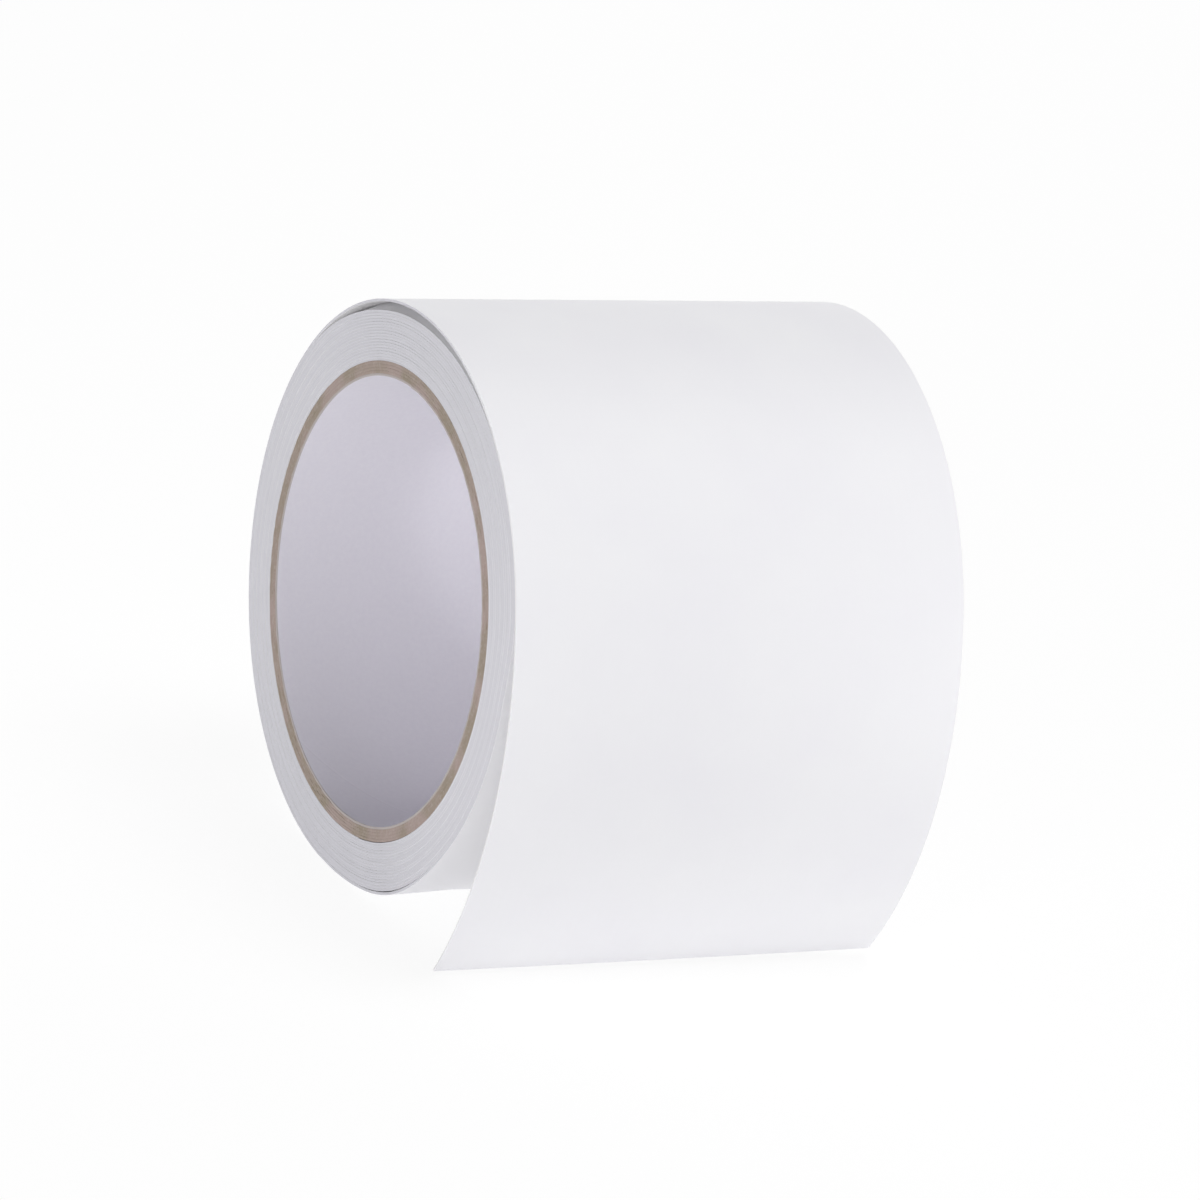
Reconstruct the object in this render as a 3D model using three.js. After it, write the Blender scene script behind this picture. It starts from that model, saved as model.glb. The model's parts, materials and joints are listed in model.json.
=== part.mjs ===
// A roll of tarpaulin repair tape lying on its side, with its free end hanging clear in front.
// Millimetres, +Z up. The roll's axis runs along Y, the end that faces the viewer is at -Y,
// and the origin is the middle of the small flat that the roll rests on.
import * as THREE from 'three';

const { degToRad, lerp, smoothstep } = THREE.MathUtils;

// Core: a spiral-wound paper tube with a white paper lining
const boreRadius = 38.1;
const liningThickness = 0.35;
const kraftPlyThickness = 0.55;
const kraftPlyCount = 4;
const glueLine = 0.05;

// Tape: coated fabric, its adhesive, and the release liner that keeps the turns apart
const tapeWidth = 85;
const tapeThickness = 0.25;
const adhesiveThickness = 0.05;
const linerThickness = 0.15;

// Winding: tight inner turns as one ring, then the outer turns as a strip
const windingBuild = 7.8;
const outerTurnCount = 2;
const turnGap = 0.3;
const turnEndGap = 0.3;

// The last turn has sprung loose; angles run back along the tape from where the free end leaves
const leavingStandOff = 1.9;
const crownStandOff = 2.5;
const crownAngle = degToRad(75);
const tightAgainAngle = degToRad(190);

// Free end: a curl that is a little tighter along its far edge
const freeEndLength = 71.5;
const nearCurlRadius = 78;
const farCurlRadius = 70;
const bendCount = 5;
const bendGap = 0.3;
const liftingTipLength = 9;

// How it lies: the weight presses a flat into the winding, and the free end stops above the table
const restFlatDepth = 0.5;
const tipFloorClearance = 0.3;

// Fineness of the facets
const facetsPerTurn = 72;
const stepsPerBend = 3;
const freeEndStrips = 4;

const fullTurn = 2 * Math.PI;
const coreRadius = boreRadius + liningThickness + kraftPlyCount * (glueLine + kraftPlyThickness);
const windingRadius = coreRadius + glueLine + windingBuild;
const leavingRadius = windingRadius + leavingStandOff;
const crownRadius = windingRadius + crownStandOff;
const laminateThickness = tapeThickness + adhesiveThickness + linerThickness;
const turnPitch = laminateThickness + turnGap;
const linerDepth = tapeThickness + adhesiveThickness;
const axisHeight = windingRadius - restFlatDepth;
const bendSpacing = freeEndLength / bendCount;

const kraftPaper = { color: 0xa08c80, roughness: 0.95, metalness: 0 };
const liningPaper = { color: 0xdcdae0, roughness: 0.85, metalness: 0 };
const coatedFabric = { color: 0xf0f0f2, roughness: 0.45, metalness: 0 };
const windingEdge = { color: 0xe2e2e6, roughness: 0.6, metalness: 0 };
const releasePaper = { color: 0xe9e6dc, roughness: 0.55, metalness: 0 };

function namedMesh(name, geometry, finish) {
  const mesh = new THREE.Mesh(geometry, new THREE.MeshStandardMaterial(finish));
  mesh.name = name;
  return mesh;
}

function polar(radius, angle) {
  return new THREE.Vector2(radius * Math.cos(angle), radius * Math.sin(angle));
}

function circlePoints(radius) {
  const points = [];
  for (let i = 0; i < facetsPerTurn; i += 1) {
    points.push(polar(radius, (i / facetsPerTurn) * fullTurn));
  }
  return points;
}

// A cross-section of the roll, carried across the width of the tape
function acrossWidth(shape) {
  const geometry = new THREE.ExtrudeGeometry(shape, { depth: tapeWidth, bevelEnabled: false });
  return geometry.translate(0, 0, -tapeWidth / 2);
}

function ringGeometry(innerRadius, outerRadius) {
  const shape = new THREE.Shape(circlePoints(outerRadius));
  shape.holes.push(new THREE.Path(circlePoints(innerRadius)));
  return acrossWidth(shape);
}

// The free end's surface: along is the distance from where it leaves the roll, across runs
// from 0 at the near edge to 1 at the far edge, and depth goes inwards from the tape's face.
function freeEndPoint(along, across, depth) {
  const curlRadius = lerp(nearCurlRadius, farCurlRadius, across);
  const angle = along / curlRadius;
  const radius = curlRadius - depth;
  return new THREE.Vector3(
    leavingRadius - curlRadius + radius * Math.cos(angle),
    -radius * Math.sin(angle),
    lerp(tapeWidth / 2, -tapeWidth / 2, across)
  );
}

// The roll is turned on its axis until the near corner of the free end just clears the table
const nearCorner = freeEndPoint(freeEndLength, 0, 0);
const nearCornerRadius = Math.hypot(nearCorner.x, nearCorner.y);
const nearCornerDrop = Math.min(1, (axisHeight - tipFloorClearance) / nearCornerRadius);
const restTurn = -Math.asin(nearCornerDrop) - Math.atan2(nearCorner.y, nearCorner.x);
const bottomAngle = 1.5 * Math.PI - restTurn;

function tightRadius(angle) {
  return windingRadius - (turnPitch * (angle - bottomAngle)) / fullTurn;
}

// How far the sprung last turn stands off the tight spiral
function looseLift(angle) {
  const leavingLift = leavingRadius - tightRadius(0);
  const crownLift = crownRadius - tightRadius(crownAngle);
  const rise = smoothstep(angle, 0, crownAngle);
  const fall = smoothstep(angle, crownAngle, tightAgainAngle);
  return lerp(leavingLift, crownLift, rise) * (1 - fall);
}

// Radius of the tape's face, with every turn pressed flat alike at the bottom of the roll
function faceRadius(angle) {
  const turnsIn = Math.round((angle - bottomAngle) / fullTurn);
  const awayFromBottom = angle - bottomAngle - turnsIn * fullTurn;
  const roundRadius = tightRadius(angle) + looseLift(angle);
  const flatHeight = axisHeight - turnsIn * turnPitch;
  if (Math.abs(awayFromBottom) > Math.PI / 4) {
    return roundRadius;
  }
  return Math.min(roundRadius, flatHeight / Math.cos(awayFromBottom));
}

// Facet corners along the winding, placed evenly on both sides of the resting flat
function turnAngles(from, to) {
  const step = fullTurn / facetsPerTurn;
  const angles = [from];
  const first = Math.ceil((from - bottomAngle) / step);
  for (let i = first; bottomAngle + (i + 0.5) * step < to - step / 4; i += 1) {
    angles.push(bottomAngle + (i + 0.5) * step);
  }
  angles.push(to);
  return angles;
}

function turnPoints(from, to, depth) {
  return turnAngles(from, to).map((angle) => polar(faceRadius(angle) - depth, angle));
}

// One layer of the outer turns, an unbroken strip from the free end back to the inner turns
const stripStart = bendGap / 2 / leavingRadius;
const stripEnd = outerTurnCount * fullTurn - turnEndGap / windingRadius;

function stripGeometry(outerDepth, innerDepth) {
  const outside = turnPoints(stripStart, stripEnd, outerDepth);
  const inside = turnPoints(stripStart, stripEnd, innerDepth);
  return acrossWidth(new THREE.Shape([...outside, ...inside.reverse()]));
}

// Least distance from a strip's inner side to its own outer side a turn further in
function leastSelfGap(outerDepth, innerDepth) {
  const outside = turnPoints(stripStart, stripEnd, outerDepth);
  const inside = turnPoints(stripStart, stripEnd, innerDepth);
  const halfTurn = facetsPerTurn / 2;
  let least = Infinity;
  inside.forEach((point, i) => {
    outside.slice(i + halfTurn).forEach((other) => {
      least = Math.min(least, point.distanceTo(other));
    });
  });
  return least;
}

// The tight turns form a ring with a step where the outermost of them passes into the strip
function innerTurnsGeometry(innerRadius) {
  const start = outerTurnCount * fullTurn;
  const shape = new THREE.Shape(turnPoints(start, start + fullTurn, 0));
  shape.holes.push(new THREE.Path(circlePoints(innerRadius)));
  return acrossWidth(shape);
}

// A layer of the free end between stations along it: two faces split alike, and four edges
function sheetGeometry(stations, outerDepth, innerDepth) {
  const positions = [];
  const triangles = [];
  const columns = freeEndStrips + 1;
  for (const depth of [outerDepth, innerDepth]) {
    for (const along of stations) {
      for (let i = 0; i < columns; i += 1) {
        positions.push(...freeEndPoint(along, i / freeEndStrips, depth).toArray());
      }
    }
  }
  const outer = (row, column) => row * columns + column;
  const inner = (row, column) => stations.length * columns + outer(row, column);
  const quad = (a, b, c, d) => triangles.push(a, b, c, a, c, d);
  const lastRow = stations.length - 1;
  for (let row = 0; row < lastRow; row += 1) {
    for (let column = 0; column < freeEndStrips; column += 1) {
      quad(outer(row, column), outer(row + 1, column), outer(row + 1, column + 1), outer(row, column + 1));
      quad(inner(row, column), inner(row, column + 1), inner(row + 1, column + 1), inner(row + 1, column));
    }
    quad(outer(row, 0), inner(row, 0), inner(row + 1, 0), outer(row + 1, 0));
    quad(
      outer(row, freeEndStrips),
      outer(row + 1, freeEndStrips),
      inner(row + 1, freeEndStrips),
      inner(row, freeEndStrips)
    );
  }
  for (let column = 0; column < freeEndStrips; column += 1) {
    quad(outer(0, column), outer(0, column + 1), inner(0, column + 1), inner(0, column));
    quad(
      outer(lastRow, column),
      inner(lastRow, column),
      inner(lastRow, column + 1),
      outer(lastRow, column + 1)
    );
  }
  const geometry = new THREE.BufferGeometry();
  geometry.setAttribute('position', new THREE.Float32BufferAttribute(positions, 3));
  geometry.setIndex(triangles);
  return geometry;
}

function stationsBetween(from, to) {
  const stations = [];
  for (let i = 0; i <= stepsPerBend; i += 1) {
    stations.push(lerp(from, to, i / stepsPerBend));
  }
  return stations;
}

// Core, from the bore outwards
const core = new THREE.Group();
let plyInside = boreRadius;
let plyOutside = plyInside + liningThickness;
core.add(namedMesh('core_lining', ringGeometry(plyInside, plyOutside), liningPaper));
for (let ply = 1; ply <= kraftPlyCount; ply += 1) {
  plyInside = plyOutside + glueLine;
  plyOutside = plyInside + kraftPlyThickness;
  core.add(namedMesh(`core_kraft_ply_${ply}`, ringGeometry(plyInside, plyOutside), kraftPaper));
}

// Winding
const winding = new THREE.Group();
winding.add(namedMesh('inner_turns', innerTurnsGeometry(coreRadius + glueLine), windingEdge));
winding.add(namedMesh('outer_turns_tape', stripGeometry(0, tapeThickness), coatedFabric));
winding.add(namedMesh('outer_turns_liner', stripGeometry(linerDepth, laminateThickness), releasePaper));
console.log(`outer_turns_tape: least gap to itself ${leastSelfGap(0, tapeThickness).toFixed(2)} mm`);
console.log(
  `outer_turns_liner: least gap to itself ${leastSelfGap(linerDepth, laminateThickness).toFixed(2)} mm`
);

// Free end: short lengths that bend on each other, with tape and liner parting at the tip
for (let bend = 1; bend <= bendCount; bend += 1) {
  const isLast = bend === bendCount;
  const from = (bend - 1) * bendSpacing + bendGap / 2;
  const to = isLast ? freeEndLength : bend * bendSpacing - bendGap / 2;
  let tapeStations = stationsBetween(from, to);
  let linerStations = tapeStations;
  if (isLast) {
    const tipStart = freeEndLength - liftingTipLength;
    const tipStations = stationsBetween(tipStart + bendGap / 2, to);
    tapeStations = stationsBetween(from, tipStart - bendGap / 2);
    linerStations = [...tapeStations, ...tipStations];
    winding.add(namedMesh('lifting_tip', sheetGeometry(tipStations, 0, tapeThickness), coatedFabric));
  }
  const tapeSheet = sheetGeometry(tapeStations, 0, tapeThickness);
  const linerSheet = sheetGeometry(linerStations, linerDepth, laminateThickness);
  winding.add(namedMesh(`free_end_tape_${bend}`, tapeSheet, coatedFabric));
  winding.add(namedMesh(`free_end_liner_${bend}`, linerSheet, releasePaper));
}
winding.rotation.z = restTurn;

const tapeRoll = new THREE.Group();
tapeRoll.add(core, winding);
tapeRoll.rotation.x = Math.PI / 2;
tapeRoll.position.z = axisHeight;
tapeRoll.updateMatrixWorld(true);

export default tapeRoll;
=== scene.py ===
import json
import math

import bpy
import numpy as np
from mathutils import Matrix, Vector


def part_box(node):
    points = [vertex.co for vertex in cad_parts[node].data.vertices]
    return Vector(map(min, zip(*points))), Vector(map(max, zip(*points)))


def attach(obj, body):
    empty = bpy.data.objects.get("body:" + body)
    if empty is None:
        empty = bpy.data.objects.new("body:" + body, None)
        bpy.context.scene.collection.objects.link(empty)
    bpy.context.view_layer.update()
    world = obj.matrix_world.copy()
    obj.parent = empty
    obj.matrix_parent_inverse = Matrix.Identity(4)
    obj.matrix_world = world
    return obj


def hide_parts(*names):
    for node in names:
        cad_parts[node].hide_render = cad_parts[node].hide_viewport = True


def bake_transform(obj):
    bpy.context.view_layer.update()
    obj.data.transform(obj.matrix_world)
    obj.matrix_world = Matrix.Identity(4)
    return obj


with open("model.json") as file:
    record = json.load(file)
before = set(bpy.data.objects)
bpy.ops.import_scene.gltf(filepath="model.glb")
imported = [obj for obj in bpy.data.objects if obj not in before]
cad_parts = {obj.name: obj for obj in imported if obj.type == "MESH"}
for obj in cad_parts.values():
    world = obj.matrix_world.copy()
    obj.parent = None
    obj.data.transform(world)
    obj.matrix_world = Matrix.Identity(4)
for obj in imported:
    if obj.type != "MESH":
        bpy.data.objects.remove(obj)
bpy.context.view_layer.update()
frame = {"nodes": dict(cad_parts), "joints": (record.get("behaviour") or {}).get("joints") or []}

scene = bpy.context.scene
scene.view_settings.view_transform = "Standard"

mm = 0.001
fullTurn = 2 * math.pi

# Where the roll lies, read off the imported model. Its axis runs along Y, its near end is at -Y.
hinges = {joint["name"]: Vector(joint["pos_m"]) for joint in frame["joints"]}
liningLow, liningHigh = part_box("core_lining")
axisHeight = (liningLow.z + liningHigh.z) / 2
tapeWidth = liningHigh.y - liningLow.y
liningRadius = (liningHigh.z - liningLow.z) / 2
leavingLine = hinges["free_end_bend_1"] - Vector((0, 0, axisHeight))
restTurn = math.atan2(leavingLine.z, leavingLine.x)
bottomAngle = 1.5 * math.pi - restTurn
print("frame read: axis", round(axisHeight / mm, 2), "mm up, turned",
      round(math.degrees(restTurn), 2), "degrees")


# Camera: a long lens level with the roll's axis, turned on that axis as far as the roll is
cameraView = dict(
    distance=2.0,
    azimuth=61.90,      # degrees round the roll from its near end
    roll=-0.343,        # degrees
    focalLength=352.1,  # mm, on the sensor below
    sensor=36.0,        # mm
    clipStart=0.05,
    aimRight=0.104 * mm,
    aimUp=0.005 * mm,
)

rollCentre = Vector((0, 0, axisHeight))
layDown = Matrix.Rotation(-restTurn, 3, "Y")
azimuth = math.radians(cameraView["azimuth"])
levelRight = layDown @ Vector((math.cos(azimuth), math.sin(azimuth), 0))
viewBack = layDown @ Vector((math.sin(azimuth), -math.cos(azimuth), 0))
tilt = Matrix.Rotation(math.radians(cameraView["roll"]), 3, viewBack)
viewRight = tilt @ levelRight
viewUp = viewBack.cross(viewRight)


def makeCamera():
    lens = bpy.data.cameras.new("camera")
    lens.lens = cameraView["focalLength"]
    lens.sensor_width = cameraView["sensor"]
    lens.clip_start = cameraView["clipStart"]
    camera = bpy.data.objects.new("camera", lens)
    scene.collection.objects.link(camera)
    pose = Matrix((viewRight, viewUp, viewBack)).transposed().to_4x4()
    pose.translation = (rollCentre + viewBack * cameraView["distance"]
                        + viewRight * cameraView["aimRight"] + viewUp * cameraView["aimUp"])
    camera.matrix_world = pose
    scene.camera = camera
    print("camera placed")


makeCamera()


# sRGB hex to linear: a channel is divided by 12.92 near black, else ((c + 0.055) / 1.055) to the power 2.4
def linear(hexColour):
    channels = np.array([int(hexColour[i:i + 2], 16) for i in (0, 2, 4)]) / 255
    bright = ((channels + 0.055) / 1.055) ** 2.4
    return (*np.where(channels <= 0.04045, channels / 12.92, bright), 1.0)


# Adds a node: values for its sockets, the outputs that feed them, and its own settings
def addNode(tree, kind, values=None, links=None, **settings):
    node = tree.nodes.new("ShaderNode" + kind)
    for name, value in settings.items():
        setattr(node, name, value)
    for socket, value in (values or {}).items():
        node.inputs[socket].default_value = value
    for socket, source in (links or {}).items():
        tree.links.new(source, node.inputs[socket])
    return node


def newMaterial(name):
    material = bpy.data.materials.new(name)
    material.use_nodes = True
    material.node_tree.nodes.clear()
    return material, material.node_tree


# A noise texture's blobs are about 1 / scale across
def blobScale(size):
    return 1 / size


# A wave texture's bands lie 2 pi / (20 scale) apart
def bandScale(spacing):
    return fullTurn / 20 / spacing


# The colour of a layer, with its cut edges greyer where it is wound: partly dust and adhesive, partly
# painted shade on the roll's end faces. The place of a point is its length along, side and depth in the
# tape.
def edgeColour(tree, place, colour, edge):
    # where along the wound tape the cut edges' grey (dust and adhesive, and painted end-face shade) sets in
    # and is full
    band = dict(width=0.005 * mm, dustAndShadeFrom=-20 * mm, dustAndShadeFull=-60 * mm)
    parts = addNode(tree, "SeparateXYZ", {}, {0: place.outputs["Vector"]})
    side = addNode(tree, "Math", {}, {0: parts.outputs["Y"]}, operation="ABSOLUTE")
    onEdge = addNode(tree, "MapRange", {"From Min": tapeWidth / 2 - band["width"],
                                        "From Max": tapeWidth / 2}, {"Value": side.outputs["Value"]})
    onRoll = addNode(tree, "MapRange", {"From Min": band["dustAndShadeFrom"], "From Max": band["dustAndShadeFull"]},
                     {"Value": parts.outputs["X"]})
    share = addNode(tree, "Math", {}, {0: onEdge.outputs["Result"], 1: onRoll.outputs["Result"]},
                    operation="MULTIPLY")
    return addNode(tree, "Mix", {7: linear(edge)}, {0: share.outputs["Value"], 6: colour.outputs[2]},
                   data_type="RGBA")


# Tarpaulin tape: polyethylene film on a woven scrim, calendered smooth. White, satin, with the
# scrim's threads barely showing through and faint cloudy patches in the gloss.
def coatedTape():
    look = dict(white="f3f3f5", cool="eeedf2", edge="d1d0d7", ior=1.5, roughness=0.62, cloudy=0.05,
                cloud=22 * mm, thread=1.7 * mm, unevenThread=0.4, relief=0.004 * mm)
    material, tree = newMaterial("polyethylene coated fabric")
    place = addNode(tree, "Attribute", attribute_name="tapePlace")
    clouds = addNode(tree, "TexNoise", {"Scale": blobScale(look["cloud"]), "Detail": 3.0},
                     {"Vector": place.outputs["Vector"]})
    colour = addNode(tree, "Mix", {6: linear(look["white"]), 7: linear(look["cool"])},
                     {0: clouds.outputs["Fac"]}, data_type="RGBA")
    gloss = addNode(tree, "MapRange", {"To Min": look["roughness"] - look["cloudy"],
                                       "To Max": look["roughness"] + look["cloudy"]},
                    {"Value": clouds.outputs["Fac"]})
    threads = {"Scale": bandScale(look["thread"]), "Distortion": look["unevenThread"]}
    warp = addNode(tree, "TexWave", threads, {"Vector": place.outputs["Vector"]}, bands_direction="X")
    weft = addNode(tree, "TexWave", threads, {"Vector": place.outputs["Vector"]}, bands_direction="Y")
    weave = addNode(tree, "Math", {}, {0: warp.outputs["Fac"], 1: weft.outputs["Fac"]}, operation="ADD")
    bump = addNode(tree, "Bump", {"Strength": 1.0, "Distance": look["relief"]},
                   {"Height": weave.outputs["Value"]})
    # the wound cut edges take the look's edge grey: partly dust and adhesive, partly painted shade of the
    # end faces
    shade = edgeColour(tree, place, colour, look["edge"])
    shader = addNode(tree, "BsdfPrincipled", {"IOR": look["ior"]},
                     {"Base Color": shade.outputs[2], "Roughness": gloss.outputs["Result"],
                      "Normal": bump.outputs["Normal"]})
    addNode(tree, "OutputMaterial", {}, {"Surface": shader.outputs["BSDF"]})
    return material


# Release liner: bleached paper with a silicone finish. Plain white, smooth, with a soft fibre mottle.
def releasePaper():
    look = dict(pale="f4f3f3", shade="e9e8e9", edge="cfced4", ior=1.45, roughness=0.5, fibre=0.9 * mm,
                relief=0.006 * mm)
    material, tree = newMaterial("siliconised release paper")
    place = addNode(tree, "Attribute", attribute_name="tapePlace")
    fibres = addNode(tree, "TexNoise",
                     {"Scale": blobScale(look["fibre"]), "Detail": 5.0, "Roughness": 0.65},
                     {"Vector": place.outputs["Vector"]})
    colour = addNode(tree, "Mix", {6: linear(look["pale"]), 7: linear(look["shade"])},
                     {0: fibres.outputs["Fac"]}, data_type="RGBA")
    bump = addNode(tree, "Bump", {"Strength": 1.0, "Distance": look["relief"]},
                   {"Height": fibres.outputs["Fac"]})
    # the wound cut edges take the look's edge grey: partly dust and adhesive, partly painted shade of the
    # end faces
    shade = edgeColour(tree, place, colour, look["edge"])
    shader = addNode(tree, "BsdfPrincipled", {"IOR": look["ior"], "Roughness": look["roughness"]},
                     {"Base Color": shade.outputs[2], "Normal": bump.outputs["Normal"]})
    addNode(tree, "OutputMaterial", {}, {"Surface": shader.outputs["BSDF"]})
    return material


# Kraft board: unbleached recycled pulp. Dull pinkish brown with olive patches and pale flecks of fibre.
def kraftBoard():
    look = dict(brown="a89791", olive="988c7e", pale="baaea7", ior=1.45, roughness=0.95,
                fleck=0.6 * mm, fleckFrom=0.5, fleckFull=0.75, fleckShare=0.7,
                patch=5 * mm, patchFrom=0.35, patchFull=0.65, relief=0.03 * mm)
    material, tree = newMaterial("kraft board")
    place = addNode(tree, "TexCoord")
    flecks = addNode(tree, "TexNoise",
                     {"Scale": blobScale(look["fleck"]), "Detail": 6.0, "Roughness": 0.7},
                     {"Vector": place.outputs["Object"]})
    patches = addNode(tree, "TexNoise", {"Scale": blobScale(look["patch"]), "Detail": 2.0},
                      {"Vector": place.outputs["Object"]})
    patchy = addNode(tree, "MapRange", {"From Min": look["patchFrom"], "From Max": look["patchFull"]},
                     {"Value": patches.outputs["Fac"]})
    flecky = addNode(tree, "MapRange", {"From Min": look["fleckFrom"], "From Max": look["fleckFull"],
                                        "To Max": look["fleckShare"]},
                     {"Value": flecks.outputs["Fac"]})
    ground = addNode(tree, "Mix", {6: linear(look["brown"]), 7: linear(look["olive"])},
                     {0: patchy.outputs["Result"]}, data_type="RGBA")
    colour = addNode(tree, "Mix", {7: linear(look["pale"])},
                     {0: flecky.outputs["Result"], 6: ground.outputs[2]}, data_type="RGBA")
    bump = addNode(tree, "Bump", {"Strength": 1.0, "Distance": look["relief"]},
                   {"Height": flecks.outputs["Fac"]})
    shader = addNode(tree, "BsdfPrincipled", {"Roughness": look["roughness"], "IOR": look["ior"]},
                     {"Base Color": colour.outputs[2], "Normal": bump.outputs["Normal"]})
    addNode(tree, "OutputMaterial", {}, {"Surface": shader.outputs["BSDF"]})
    return material


# Core lining: bleached paper, matt. Cool white with a hint of lavender and a fine fibre grain, and
# duller on its cut edges.
def liningPaper():
    look = dict(pale="e7e5eb", shade="dddae3", edge="b4acaa", edgeWidth=0.2 * mm, ior=1.45,
                roughness=0.8, fibre=0.8 * mm, relief=0.012 * mm)
    material, tree = newMaterial("bleached lining paper")
    place = addNode(tree, "TexCoord")
    fibres = addNode(tree, "TexNoise",
                     {"Scale": blobScale(look["fibre"]), "Detail": 6.0, "Roughness": 0.65},
                     {"Vector": place.outputs["Object"]})
    colour = addNode(tree, "Mix", {6: linear(look["pale"]), 7: linear(look["shade"])},
                     {0: fibres.outputs["Fac"]}, data_type="RGBA")
    parts = addNode(tree, "SeparateXYZ", {}, {0: place.outputs["Object"]})
    side = addNode(tree, "Math", {}, {0: parts.outputs["Y"]}, operation="ABSOLUTE")
    onEdge = addNode(tree, "MapRange", {"From Min": tapeWidth / 2 - look["edgeWidth"],
                                        "From Max": tapeWidth / 2 - look["edgeWidth"] / 2},
                     {"Value": side.outputs["Value"]})
    shade = addNode(tree, "Mix", {7: linear(look["edge"])},
                    {0: onEdge.outputs["Result"], 6: colour.outputs[2]}, data_type="RGBA")
    bump = addNode(tree, "Bump", {"Strength": 1.0, "Distance": look["relief"]},
                   {"Height": fibres.outputs["Fac"]})
    shader = addNode(tree, "BsdfPrincipled", {"Roughness": look["roughness"], "IOR": look["ior"]},
                     {"Base Color": shade.outputs[2], "Normal": bump.outputs["Normal"]})
    addNode(tree, "OutputMaterial", {}, {"Surface": shader.outputs["BSDF"]})
    return material


tapeFinish = coatedTape()
linerFinish = releasePaper()
kraftFinish = kraftBoard()
liningFinish = liningPaper()
print("materials made")


# Signed volume of quads: a sixth of the sum of the triple products of each half quad's corners
def signedVolume(points, faces):
    a, b, c, d = (points[faces[:, corner]] for corner in range(4))
    halves = np.einsum("ij,ij->i", a, np.cross(b, c)) + np.einsum("ij,ij->i", a, np.cross(c, d))
    return halves.sum() / 6


# A closed piece from a grid of points, with one closed loop at each station. The stations run round
# into a ring, or end in caps whose quads pair each point of the loop with the one across the layer.
def pieceFromGrid(name, grid, finish, ring=False, place=None, sharpAngle=40):
    stations, around, _ = grid.shape
    index = np.arange(stations * around).reshape(stations, around)
    here, there = index[:-1], index[1:]
    if ring:
        here, there = index, np.roll(index, -1, axis=0)
    sides = np.stack([here, np.roll(here, -1, axis=1), np.roll(there, -1, axis=1), there], axis=-1)
    faces = [sides.reshape(-1, 4)]
    if not ring:
        i = np.arange(around // 2 - 1)
        pairs = np.stack([i, i + 1, around - 2 - i, around - 1 - i], axis=-1)
        faces += [index[0][pairs[:, ::-1]], index[-1][pairs]]
    faces = np.concatenate(faces)
    points = grid.reshape(-1, 3)
    if signedVolume(points, faces) < 0:
        faces = faces[:, ::-1]
    mesh = bpy.data.meshes.new(name)
    mesh.from_pydata(points, [], faces)
    mesh.shade_smooth()
    mesh.set_sharp_from_angle(angle=math.radians(sharpAngle))
    if place is not None:
        attribute = mesh.attributes.new("tapePlace", "FLOAT_VECTOR", "POINT")
        attribute.data.foreach_set("vector", place.astype(np.float32).ravel())
    mesh.materials.append(finish)
    piece = bpy.data.objects.new(name, mesh)
    scene.collection.objects.link(piece)
    return piece


# A layer's cross-section as a loop, side by side with depth: its face from edge to edge with a
# quarter arc at each corner, then the same points back along its underside. Its columns crowd
# towards the edges, as a sine does at its ends, and stop a few edge radii short of them.
def layerLoop(halfWidth, top, bottom, edgeRound, columns, arcSteps=3, shortOfEdge=6):
    arc = np.linspace(0, math.pi / 2, arcSteps + 1)
    crowding = np.sin(np.linspace(-math.pi / 2, math.pi / 2, columns + 1))
    face = (halfWidth - shortOfEdge * edgeRound) * crowding
    inset = halfWidth - edgeRound * (1 - np.cos(arc))
    drop = edgeRound * (1 - np.sin(arc))
    side = np.concatenate([-inset, face, inset[::-1]])
    depth = np.concatenate([drop, np.zeros(columns + 1), drop[::-1]])
    return np.concatenate([side, side[::-1]]), np.concatenate([top + depth, bottom - depth[::-1]])


# Zero below low, one above high, and 3t^2 - 2t^3 between
def smoothstep(value, low, high):
    share = np.clip((value - low) / (high - low), 0, 1)
    return share * share * (3 - 2 * share)


# Core: a lining and four kraft plies. Each is a wall's rounded section carried round the axis. The
# cut ends waver by a sum of sines, and the lining's butt seam runs along a helix.
core = dict(
    kraftPlies=4,
    edgeRound=0.03 * mm,
    boardShare=0.895,      # of the solids' kraft wall, which measures a little thinner in the photo
    glueLine=0.04 * mm,    # fills the space from a ply to the next
    facets=240,
    columns=2,             # from end to end of a plain tube
    waver=0.04 * mm,       # how far the cut ends wander
    waverCounts=(6, 90),   # waves round the tube, fewest and most
    waverTerms=24,
    seamLead=130 * mm,     # the helix advances this far in a turn
    seamDepth=0.03 * mm,
    seamWidth=0.35 * mm,
    seamReach=3,           # seam widths to each side that have finer steps
    seamSteps=9,
    seamColumns=120,       # enough to keep the turned grid round
    seed=4,
)


# A tube's least and greatest radius: those of its solid, drawn in towards the lining by the board's share
def tubeWall(node):
    vertices = frame["nodes"][node].data.vertices
    points = np.empty(3 * len(vertices), np.float32)
    vertices.foreach_get("co", points)
    points = points.reshape(-1, 3).astype(float)
    radii = np.hypot(points[:, 0], points[:, 2] - axisHeight)
    ends = np.array((radii.min(), radii.max()))
    return ends - (1 - core["boardShare"]) * np.maximum(ends - liningRadius, 0)


# How far a cut end strays round the tube: sines of random counts and phases, added up
def cutEnd(rng, angle):
    counts = rng.integers(*core["waverCounts"], core["waverTerms"])
    phases = rng.uniform(0, fullTurn, core["waverTerms"])
    waves = np.sin(np.outer(angle, counts) + phases).sum(axis=1)
    return core["waver"] * waves / math.sqrt(core["waverTerms"])


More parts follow.
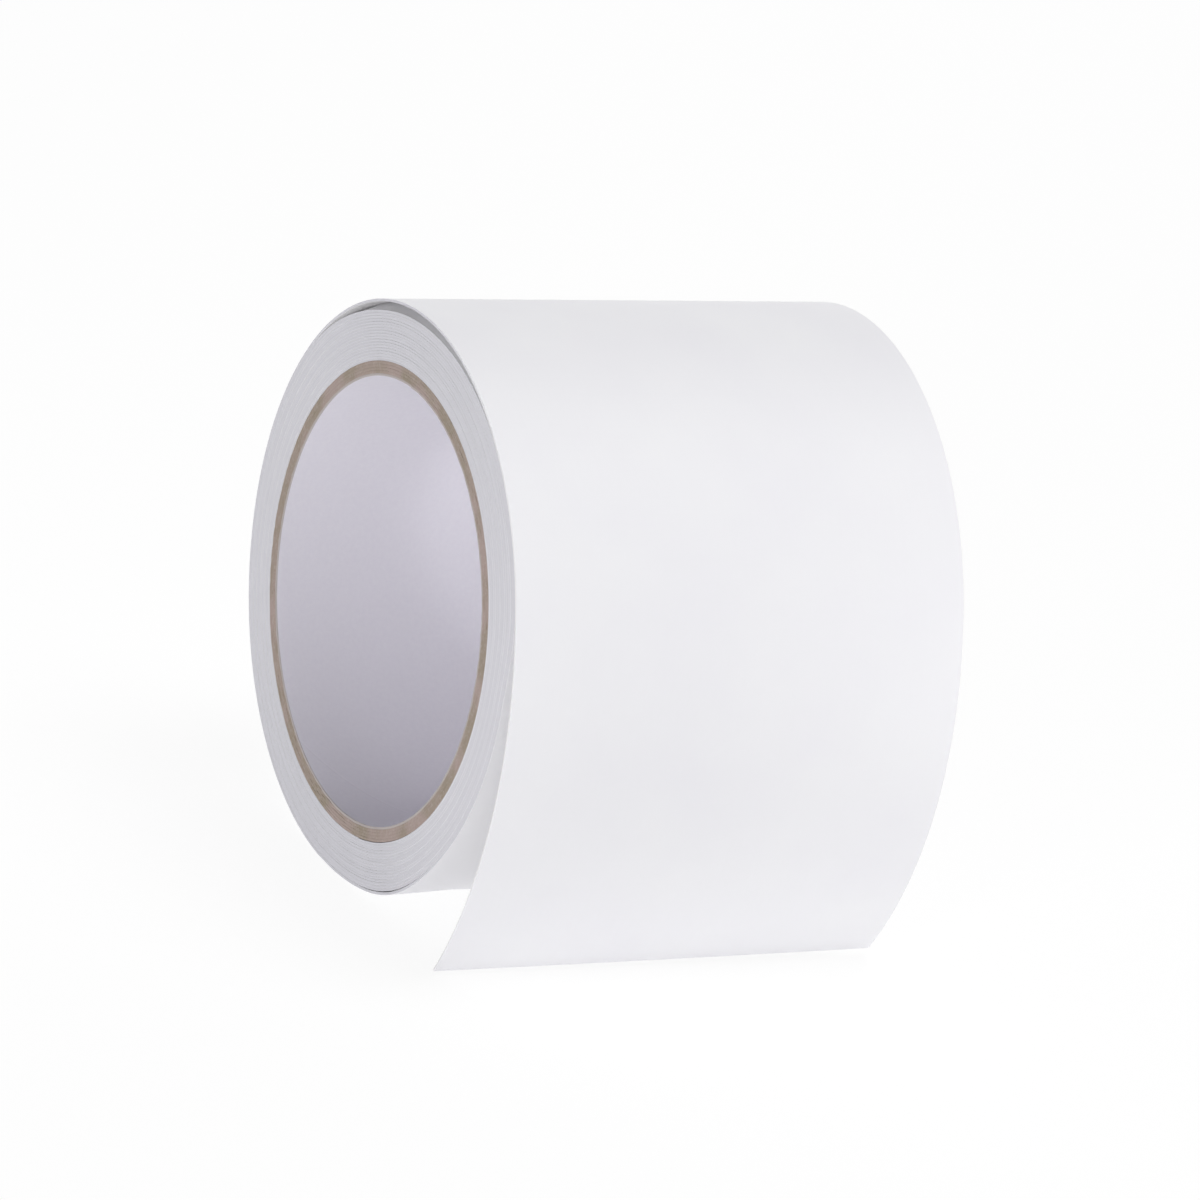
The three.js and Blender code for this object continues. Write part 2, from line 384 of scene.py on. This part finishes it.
# A tube: radius round the axis by angle and side. On a lead the grid turns with its seam's helix, and
# the seam is a groove of a bell's section.
def makeTube(name, node, finish, rng, lead=None):
    inside, outside = tubeWall(node)
    outside += core["glueLine"]
    share = np.arange(core["facets"]) / core["facets"]
    columns = core["columns"]
    if lead:
        reach = core["seamReach"] * core["seamWidth"] / (fullTurn * inside)
        seam = np.linspace(-reach, reach, core["seamSteps"])
        share = np.concatenate([seam, share[(share > reach) & (share < 1 - reach)]])
        columns = core["seamColumns"]
    side, depth = layerLoop(tapeWidth / 2, 0, outside - inside, core["edgeRound"], columns)
    angle = fullTurn * share[:, None] + np.zeros_like(side)
    radius = outside - depth + np.zeros_like(angle)
    if lead:
        angle = angle + fullTurn * side / lead
        gap = np.minimum(share, 1 - share)[:, None] * fullTurn * inside / core["seamWidth"]
        radius = radius + core["seamDepth"] * np.exp(-gap ** 2) * (depth > (outside - inside) / 2)
    nearShare = 0.5 - side / tapeWidth
    nearEnd = cutEnd(rng, angle[:, 0])[:, None]
    farEnd = cutEnd(rng, angle[:, 0])[:, None]
    y = side + nearEnd * nearShare + farEnd * (1 - nearShare)
    grid = np.stack([radius * np.cos(angle), y, axisHeight + radius * np.sin(angle)], axis=-1)
    tube = pieceFromGrid(name, grid, finish, ring=True)
    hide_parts(node)
    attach(tube, "roll")


def makeCore():
    rng = np.random.default_rng(core["seed"])
    makeTube("lining_tube", "core_lining", liningFinish, rng, core["seamLead"])
    for ply in range(1, core["kraftPlies"] + 1):
        makeTube(f"kraft_tube_{ply}", f"core_kraft_ply_{ply}", kraftFinish, rng)
    print("core made")


makeCore()


# Tape: film on scrim over its release liner, both cut to one width
tape = dict(
    film=0.27 * mm,
    linerTop=0.275 * mm,
    linerBottom=0.44 * mm,
    pitch=0.45 * mm,       # from one turn's face to the next
    filmRound=0.015 * mm,
    linerRound=0.01 * mm,
    leastCore=0.02 * mm,   # the first turn is pressed down on the core
    startThickness=0.1 * mm,
)

# Winding: a spiral one laminate per turn, pressed flat where it rests, its last turns sprung loose
winding = dict(
    outerTurns=2,                      # how many the outer pieces hold
    cutDepth=0.5 * mm,                 # the solid's flat
    flatDepth=0.08 * mm,               # the roll's own, which its weight presses in
    flatBlend=0.02 * mm,
    flatReach=math.pi / 4,             # worked out this far to each side of the bottom
    crownStandOff=2.5 * mm,
    crownAngle=math.radians(75),       # angles run back along the tape from the leaving line
    tightAngle=math.radians(180),
    swellAngles=np.radians((-22, -2)),   # the turns inside swell out to meet the loose one
    swellShare=0.97,
    gapAngles=np.radians((25, 80, 85, 120)),  # and fall back from it under the crown
    gapDepth=1.45 * mm,
    pocketDepth=3.6 * mm,              # the gap closes this far in from the edges
    takeUp=0.9,                        # the share of the slack between turns that the layers fill
    lowLift=0.18 * mm,                 # a second small lift, low on the roll
    lowAngles=np.radians((257, 276, 308)),
    sag=0.75 * mm,                     # the turns hang out of round there, at the near end
    sagAngles=np.radians((248, 274, 302)),
    sagReach=12 * mm,                  # how far in from the near edge
    wander=0.025 * mm,                 # how far the edges stray sideways from turn to turn
    wanderWaves=((1, 0.71, 0.6), (0.5, 1.93, 2.1), (0.35, 4.7, 0)),  # height, rate and phase of each
    wanderAngles=(0.5, 3),             # radians over which they set in
    columns=8,
    stepsPerTurn=174,
    fineReach=4,                       # steps at the start that are cut finer
    fineSteps=24,
)

coreRadius = tubeWall("core_kraft_ply_4")[1] + core["glueLine"] + tape["leastCore"]
windingRadius = axisHeight + winding["cutDepth"]
leavingRadius = math.hypot(leavingLine.x, leavingLine.z) + tape["pitch"] / 2


def tightRadius(angle):
    return windingRadius - tape["pitch"] * (angle - bottomAngle) / fullTurn


# The angle at which a layer that lies below the tape's face thins out against the core
def startAngle(top):
    build = windingRadius - top - coreRadius - tape["startThickness"]
    return bottomAngle + build / tape["pitch"] * fullTurn


turnCount = startAngle(0) / fullTurn


# Rises from nothing to one between the first two angles, and falls back between the last two
def hump(angle, angles):
    return smoothstep(angle, *angles[:2]) * (1 - smoothstep(angle, *angles[-2:]))


# The last turn's stand-off: it rises from the leaving line to a crown, and settles
def crownLift(angle):
    crown, tight = winding["crownAngle"], winding["tightAngle"]
    leaving = leavingRadius - tightRadius(0)
    highest = windingRadius + winding["crownStandOff"] - tightRadius(crown)
    risen = leaving + (highest - leaving) * smoothstep(angle, 0, crown)
    return risen * (1 - smoothstep(angle, crown, tight))


# The turns inside swell to follow the last one, but leave a gap under the crown that closes inwards
# from the edges. Gives the number of the turn, and the swell of the first of them.
def swollen(angle, side):
    turn = np.maximum(np.round(angle / fullTurn), 1)
    inside = angle - turn * fullTurn
    outward = 1 - smoothstep(tapeWidth / 2 - np.abs(side), 0, winding["pocketDepth"])
    gap = winding["gapDepth"] * hump(inside, winding["gapAngles"]) * outward
    swell = winding["swellShare"] * smoothstep(inside, *winding["swellAngles"])
    return turn, swell * (crownLift(inside) - gap)


# The turns sag out of round low on the roll, less and less inwards from its near edge. Gives how many
# turns lie outside this one, and the sag of the outermost.
def sagging(angle, side):
    turn = np.floor(angle / fullTurn)
    inward = smoothstep(side + tapeWidth / 2, 0, winding["sagReach"])
    return turn, winding["sag"] * hump(angle - turn * fullTurn, winding["sagAngles"]) * (1 - inward)


# Stand-off from the tight spiral: the last turn's, the swell and the sag of those inside it, less and
# less towards the core, and a small hump low on the last turn
def looseLift(angle, side):
    turn, swell = swollen(angle, side)
    outside, sag = sagging(angle, side)
    lowHump = winding["lowLift"] * hump(angle, winding["lowAngles"])
    swellShare = np.maximum(1 - (turn - 1) / (turnCount - 1), 0)
    sagShare = np.maximum(1 - outside / (turnCount - 1), 0)
    return crownLift(angle) + swell * swellShare + sag * sagShare + lowHump


# Radius of the tape's face: the lifted spiral, or the flat that the table presses into it, whichever
# is less, run together by a soft minimum. The flat fades to nothing towards the core.
def faceRadius(angle, side):
    turnsIn = np.round((angle - bottomAngle) / fullTurn)
    away = np.clip(angle - bottomAngle - turnsIn * fullTurn, -winding["flatReach"], winding["flatReach"])
    roundRadius = tightRadius(angle) + looseLift(angle, side)
    pressed = windingRadius - turnsIn * tape["pitch"] - winding["flatDepth"] * (1 - turnsIn / turnCount)
    flatRadius = pressed / np.cos(away)
    soft = winding["flatBlend"]
    meet = soft * np.log1p(np.exp(-np.abs(roundRadius - flatRadius) / soft))
    return np.minimum(roundRadius, flatRadius) - meet


# From the winding's plane, turned as the roll lies, to the row's frame
def layPoint(u, v, side):
    x = u * math.cos(restTurn) - v * math.sin(restTurn)
    z = u * math.sin(restTurn) + v * math.cos(restTurn) + axisHeight
    return np.stack(np.broadcast_arrays(x, side, z), axis=-1)


# Sideways stray of the edges: three sines whose waves don't fit a turn, none at the leaving line
def edgeWander(angle):
    waves = sum(height * np.sin(rate * angle + phase) for height, rate, phase in winding["wanderWaves"])
    return winding["wander"] * waves * smoothstep(angle, *winding["wanderAngles"])


# A point of the wound tape. Each turn leaves its share of the swell and sag as slack over the next.
def woundPoint(angle, side, depth):
    slack = (swollen(angle, side)[1] + sagging(angle, side)[1]) / (turnCount - 1)
    thicker = 1 + winding["takeUp"] * slack / tape["pitch"]
    radius = np.maximum(faceRadius(angle, side) - depth * thicker, coreRadius)
    return layPoint(radius * np.cos(angle), radius * np.sin(angle), side + edgeWander(angle))


# A wound layer: its cross-section carried along the spiral between two angles
def makeWound(name, fromAngle, toAngle, loop, finish, slot, *nodes):
    side, depth = loop
    step = fullTurn / winding["stepsPerTurn"]
    fine = np.linspace(fromAngle, fromAngle + winding["fineReach"] * step, winding["fineSteps"])
    rest = np.linspace(fine[-1], toAngle, math.ceil((toAngle - fine[-1]) / step))
    angle = np.concatenate([fine, rest[1:]])[:, None]
    grid = woundPoint(angle, side, depth)
    length = fromAngle * leavingRadius + np.cumsum(faceRadius(angle[:, 0], 0) * np.gradient(angle[:, 0]))
    place = np.stack(np.broadcast_arrays(-length[:, None], side, depth), axis=-1)
    piece = pieceFromGrid(name, grid, finish, place=place)
    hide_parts(*nodes)
    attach(piece, "roll")


# Free end: a curl, a little tighter along its far edge, in lengths
freeEnd = dict(
    length=71.5 * mm,
    nearCurl=78 * mm,
    farCurl=70 * mm,
    bends=5,
    tipLength=9 * mm,
    tipBend=2.65 * mm,     # half the stretch that the lifting tip bends over
    stationSpacing=0.36 * mm,
    columns=28,
    margin=0.5 * mm,       # a span starts and stops this far in from a length's ends
)
bendSpacing = freeEnd["length"] / freeEnd["bends"]


# A point of the free end: along an arc that falls from the leaving line, at its side's curl radius
def freePoint(along, side, depth):
    curl = freeEnd["nearCurl"] + (freeEnd["farCurl"] - freeEnd["nearCurl"]) * (0.5 + side / tapeWidth)
    turned = along / curl
    u = leavingRadius - curl + (curl - depth) * np.cos(turned)
    return layPoint(u, -(curl - depth) * np.sin(turned), side)


# The tape on both sides of the leaving line: wound before it, free after it
def tapePoint(along, side, depth):
    onRoll = np.broadcast_to((along < 0)[..., None], (*np.broadcast_shapes(along.shape, side.shape), 3))
    wound = woundPoint(np.maximum(-along, 0) / leavingRadius, side, depth)
    return np.where(onRoll, wound, freePoint(np.maximum(along, 0), side, depth))


# A length of the free end: its cross-section carried along the tape from start to end
def makeFree(name, start, end, loop, finish, node, bend):
    side, depth = loop
    along = np.linspace(start, end, math.ceil((end - start) / freeEnd["stationSpacing"]) + 1)[:, None]
    grid = tapePoint(along, side, depth)
    place = np.stack(np.broadcast_arrays(along, side, depth), axis=-1)
    piece = pieceFromGrid(name, grid, finish, place=place)
    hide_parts(node)
    ends = [tapePoint(np.array([[at]]), np.zeros(1), np.full(1, tape["pitch"] / 2))[0, 0] for at in bend]
    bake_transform(piece)


def makeTape():
    half = tapeWidth / 2
    firstAngle = bendSpacing / 2 / leavingRadius
    outerEnd = winding["outerTurns"] * fullTurn
    film = [half, 0, tape["film"], tape["filmRound"]]
    liner = [half, tape["linerTop"], tape["linerBottom"], tape["linerRound"]]
    filmLoop = layerLoop(*film, winding["columns"])
    linerLoop = layerLoop(*liner, winding["columns"])
    makeWound("outer_turns_film", firstAngle, outerEnd, filmLoop, tapeFinish, "coated_tape",
              "outer_turns_tape")
    makeWound("outer_turns_paper", firstAngle, outerEnd, linerLoop, linerFinish, "release_liner",
              "outer_turns_liner")
    makeWound("inner_turns_film", outerEnd, startAngle(0), filmLoop, tapeFinish, "wound_tape",
              "inner_turns")
    makeWound("inner_turns_paper", outerEnd, startAngle(tape["linerTop"]), linerLoop, linerFinish,
              "release_liner")
    print("winding made:", round(turnCount, 1), "turns")

    filmLoop = layerLoop(*film, freeEnd["columns"])
    linerLoop = layerLoop(*liner, freeEnd["columns"])
    tipLine = freeEnd["length"] - freeEnd["tipLength"]
    tipStart = tipLine - freeEnd["tipBend"]
    for bend in range(1, freeEnd["bends"] + 1):
        last = bend == freeEnd["bends"]
        start = (bend - 1.5) * bendSpacing  # half a spacing before its hinge
        filmEnd = tipStart if last else start + bendSpacing
        linerEnd = freeEnd["length"] if last else filmEnd
        span = (start + freeEnd["margin"], filmEnd - freeEnd["margin"])
        makeFree(f"free_film_{bend}", start, filmEnd, filmLoop, tapeFinish,
                 f"free_end_tape_{bend}", span)
        makeFree(f"free_paper_{bend}", start, linerEnd, linerLoop, linerFinish,
                 f"free_end_liner_{bend}", span)
    tipSpan = (tipStart + freeEnd["margin"], tipLine + freeEnd["tipBend"] - freeEnd["margin"])
    makeFree("tip_film", tipStart, freeEnd["length"], filmLoop, tapeFinish, "lifting_tip",
             tipSpan)
    print("free end made:", freeEnd["bends"], "bends and a lifting tip")


makeTape()


# Studio: a light table that the eye sees as white, with the roll's soft shadow left in it, a pale
# dome all round, soft boxes, and a spot that shines into the bore from its far end. A lamp's level is
# what it adds to a white card that faces it: a soft box's power is level x pi^2 x distance^2, and a
# spot's is four times that.
studio = dict(
    floorSize=6.0,
    floorColour="c8c8c8",
    floorGlow=0.50,         # light that comes up through the table
    floorWhite=0.8,         # how much of the table is plain white to the eye
    domeColour="ffffff",
    domeLevel=0.18,
)
softBoxes = (
    dict(name="overhead", azimuth=140, elevation=74, distance=1.3, size=0.7, level=0.58),
    dict(name="nearRight", azimuth=38, elevation=6, distance=1.3, size=0.26, level=0.43),
    dict(name="backLeft", azimuth=235, elevation=25, distance=1.3, size=1.0, level=0.19),
)
boreSpot = dict(azimuth=128, elevation=-2, distance=0.6, cone=9, blend=1.0, softness=0.05, level=0.38)


# One for a ray of sight, be it straight, off a gloss or through a clear piece, and nothing for others
def anySight(tree):
    seen = addNode(tree, "LightPath")
    straightOrGloss = addNode(tree, "Math", {}, {0: seen.outputs["Is Camera Ray"],
                                                 1: seen.outputs["Is Glossy Ray"]}, operation="MAXIMUM")
    return addNode(tree, "Math", {}, {0: straightOrGloss.outputs["Value"],
                                      1: seen.outputs["Is Transmission Ray"]}, operation="MAXIMUM")


def makeFloor():
    material, tree = newMaterial("pale floor")
    share = addNode(tree, "Math", {1: studio["floorWhite"]}, {0: anySight(tree).outputs["Value"]},
                    operation="MULTIPLY")
    matt = addNode(tree, "BsdfDiffuse", {"Color": linear(studio["floorColour"])})
    glow = addNode(tree, "Emission", {"Strength": studio["floorGlow"]})
    table = addNode(tree, "AddShader", {}, {0: matt.outputs["BSDF"], 1: glow.outputs["Emission"]})
    white = addNode(tree, "Emission", {"Color": (1, 1, 1, 1), "Strength": 1.0})
    mixed = addNode(tree, "MixShader", {}, {0: share.outputs["Value"], 1: table.outputs["Shader"],
                                            2: white.outputs["Emission"]})
    addNode(tree, "OutputMaterial", {}, {"Surface": mixed.outputs["Shader"]})
    half = studio["floorSize"] / 2
    level = axisHeight - windingRadius + winding["flatDepth"]
    corners = [(x, y, level) for x, y in ((-half, -half), (half, -half), (half, half), (-half, half))]
    mesh = bpy.data.meshes.new("floor")
    mesh.from_pydata(corners, [], [(0, 1, 2, 3)])
    mesh.materials.append(material)
    floor = bpy.data.objects.new("floor", mesh)
    scene.collection.objects.link(floor)


def makeDome():
    world = bpy.data.worlds.new("studio")
    world.use_nodes = True
    tree = world.node_tree
    tree.nodes.clear()
    light = addNode(tree, "Background", {"Color": linear(studio["domeColour"]),
                                         "Strength": studio["domeLevel"]})
    white = addNode(tree, "Background", {"Color": (1, 1, 1, 1), "Strength": 1.0})
    mixed = addNode(tree, "MixShader", {}, {0: anySight(tree).outputs["Value"],
                                            1: light.outputs["Background"], 2: white.outputs["Background"]})
    addNode(tree, "OutputWorld", {}, {"Surface": mixed.outputs["Shader"]})
    scene.world = world


def placeLamp(lamp, settings, target):
    holder = bpy.data.objects.new(lamp.name, lamp)
    scene.collection.objects.link(holder)
    around, above = math.radians(settings["azimuth"]), math.radians(settings["elevation"])
    level = math.cos(above)
    towards = Vector((math.sin(around) * level, -math.cos(around) * level, math.sin(above)))
    holder.location = target + towards * settings["distance"]
    holder.rotation_euler = towards.to_track_quat("Z", "Y").to_euler()


def makeSoftBox(box):
    lamp = bpy.data.lights.new(box["name"], "AREA")
    lamp.size = box["size"]
    lamp.energy = box["level"] * math.pi ** 2 * box["distance"] ** 2
    placeLamp(lamp, box, rollCentre)


def makeBoreSpot():
    lamp = bpy.data.lights.new("boreSpot", "SPOT")
    lamp.spot_size = math.radians(boreSpot["cone"])
    lamp.spot_blend = boreSpot["blend"]
    lamp.shadow_soft_size = boreSpot["softness"]
    lamp.energy = boreSpot["level"] * 4 * math.pi ** 2 * boreSpot["distance"] ** 2
    placeLamp(lamp, boreSpot, rollCentre + Vector((0, tapeWidth / 2, 0)))


makeFloor()
makeDome()
for softBox in softBoxes:
    makeSoftBox(softBox)
makeBoreSpot()
print("studio set")
